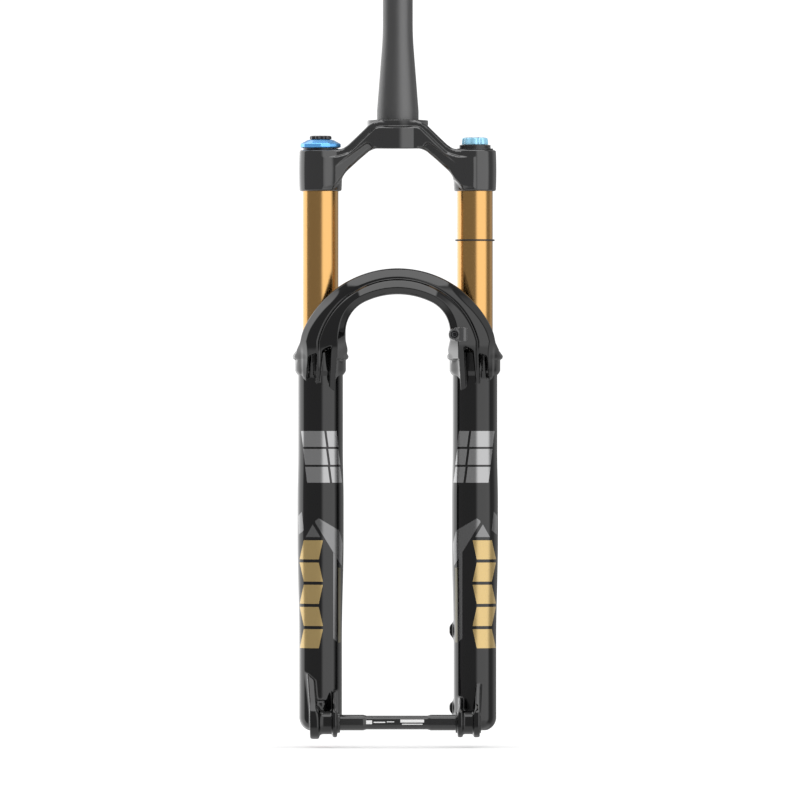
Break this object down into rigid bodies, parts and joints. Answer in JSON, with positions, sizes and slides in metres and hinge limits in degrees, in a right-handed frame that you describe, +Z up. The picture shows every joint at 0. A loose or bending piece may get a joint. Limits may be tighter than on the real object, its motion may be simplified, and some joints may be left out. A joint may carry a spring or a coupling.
{
  "type": "bicycle suspension fork",
  "caption": "Telescopic bicycle fork with sprung, damped lower legs, tapered steerer, through axle for the wheel hub and posts for a disc brake.",
  "frame": {"origin": "centre of the crown race seat's foot, on the steerer axis", "axes": "+Z up the steerer, -Y forward, +X to the rider's left"},
  "size_m": [0.2006, 0.0978, 0.8003],
  "materials": {
    "lowers_gloss_black": "gloss",
    "crown_satin_black": "satin",
    "steerer_dark_anodised": "satin",
    "stanchion_gold": "satin",
    "seal_rubber": "matte",
    "foam": "matte",
    "bushing_sleeve": "satin",
    "cap_black_anodised": "satin",
    "dial_blue_anodised": "satin",
    "dial_black_anodised": "satin",
    "cartridge_aluminium": "satin",
    "valve_aluminium": "satin",
    "spring_steel": "satin",
    "shaft_hard_chrome": "gloss",
    "piston_black_plastic": "matte",
    "spacer_orange_plastic": "matte",
    "valve_brass": "satin",
    "nut_steel": "satin",
    "washer_aluminium": "satin",
    "knob_red_anodised": "satin",
    "axle_black_anodised": "satin",
    "guide_black_plastic": "satin",
    "bolt_black_steel": "satin",
    "travel_ring_rubber": "matte",
    "graphic_silver": "gloss",
    "graphic_gold": "gloss",
    "graphic_grey": "gloss"
  },
  "bodies": {
    "upper": {"steerer_tube": "steerer_dark_anodised", "crown": "crown_satin_black", "stanchion_damper_side": "stanchion_gold", "stanchion_air_side": "stanchion_gold", "damper_top_cap": "cap_black_anodised", "cartridge_tube": "cartridge_aluminium", "base_valve": "valve_aluminium", "floating_piston_spring": "spring_steel", "cartridge_seal_head": "valve_aluminium", "air_top_cap": "cap_black_anodised", "air_valve_stem": "valve_brass", "volume_spacer_1": "spacer_orange_plastic", "volume_spacer_2": "spacer_orange_plastic", "topout_bumper": "seal_rubber", "air_seal_head": "valve_aluminium", "seal_head_circlip": "spring_steel"},
    "lowers": {"lower_casting": "lowers_gloss_black", "damper_shaft": "shaft_hard_chrome", "damper_piston": "valve_aluminium", "air_shaft": "shaft_hard_chrome", "air_piston": "piston_black_plastic", "air_piston_seal": "seal_rubber", "axle_nut": "axle_black_anodised", "hose_guide": "guide_black_plastic", "hose_guide_bolt": "bolt_black_steel", "wiper_seal_damper_side": "seal_rubber", "foam_ring_damper_side": "foam", "upper_bushing_damper_side": "bushing_sleeve", "lower_bushing_damper_side": "bushing_sleeve", "foot_nut_damper_side": "nut_steel", "crush_washer_damper_side": "washer_aluminium", "wiper_seal_air_side": "seal_rubber", "foam_ring_air_side": "foam", "upper_bushing_air_side": "bushing_sleeve", "lower_bushing_air_side": "bushing_sleeve", "foot_nut_air_side": "nut_steel", "crush_washer_air_side": "washer_aluminium"},
    "high_speed_dial": {"high_speed_dial": "dial_blue_anodised"},
    "low_speed_dial": {"low_speed_dial": "dial_black_anodised"},
    "floating_piston": {"floating_piston": "piston_black_plastic"},
    "rebound_knob": {"rebound_knob": "knob_red_anodised"},
    "air_valve_cap": {"air_valve_cap": "dial_blue_anodised"},
    "valve_pin": {"valve_pin": "valve_brass"},
    "travel_ring": {"travel_ring": "travel_ring_rubber"},
    "thru_axle": {"thru_axle": "axle_black_anodised"}
  },
  "joints": [
    {"name": "fork_travel", "type": "slide", "parent": "upper", "child": "lowers", "axis": [0, 0, 1], "range_m": [0, 0.14], "stiffness_N_per_m": 8000, "springref_m": -0.005},
    {"name": "high_speed_compression", "type": "hinge", "parent": "upper", "child": "high_speed_dial", "pos_m": [-0.07375, -0.01, -0.0248], "axis": [0, 0, 1], "range_deg": [0, 240]},
    {"name": "low_speed_compression", "type": "hinge", "parent": "upper", "child": "low_speed_dial", "pos_m": [-0.07375, -0.01, -0.0172], "axis": [0, 0, 1], "range_deg": [0, 300]},
    {"name": "rebound_adjust", "type": "hinge", "parent": "lowers", "child": "rebound_knob", "pos_m": [-0.07375, -0.01, -0.5848], "axis": [0, 0, 1], "range_deg": [0, 300]},
    {"name": "air_valve_cap_off", "type": "slide", "parent": "upper", "child": "air_valve_cap", "axis": [0, 0, 1], "range_m": [0, 0.02]},
    {"name": "valve_pin_press", "type": "slide", "parent": "upper", "child": "valve_pin", "axis": [0, 0, -1], "range_m": [0, 0.0015], "stiffness_N_per_m": 1500, "springref_m": -0.001},
    {"name": "travel_ring_slide", "type": "slide", "parent": "upper", "child": "travel_ring", "axis": [0, 0, 1], "range_m": [0, 0.0435]},
    {"name": "floating_piston_slide", "type": "slide", "parent": "upper", "child": "floating_piston", "axis": [0, 0, 1], "range_m": [0, 0.026], "deforming": ["floating_piston_spring"]},
    {"name": "axle_pull", "type": "slide", "parent": "lowers", "child": "thru_axle", "axis": [1, 0, 0], "range_m": [0, 0.165]}
  ],
  "couplings": [
    {"joint": "travel_ring_slide", "follows": "fork_travel", "ratio": 0.31},
    {"joint": "floating_piston_slide", "follows": "fork_travel", "ratio": 0.185}
  ]
}
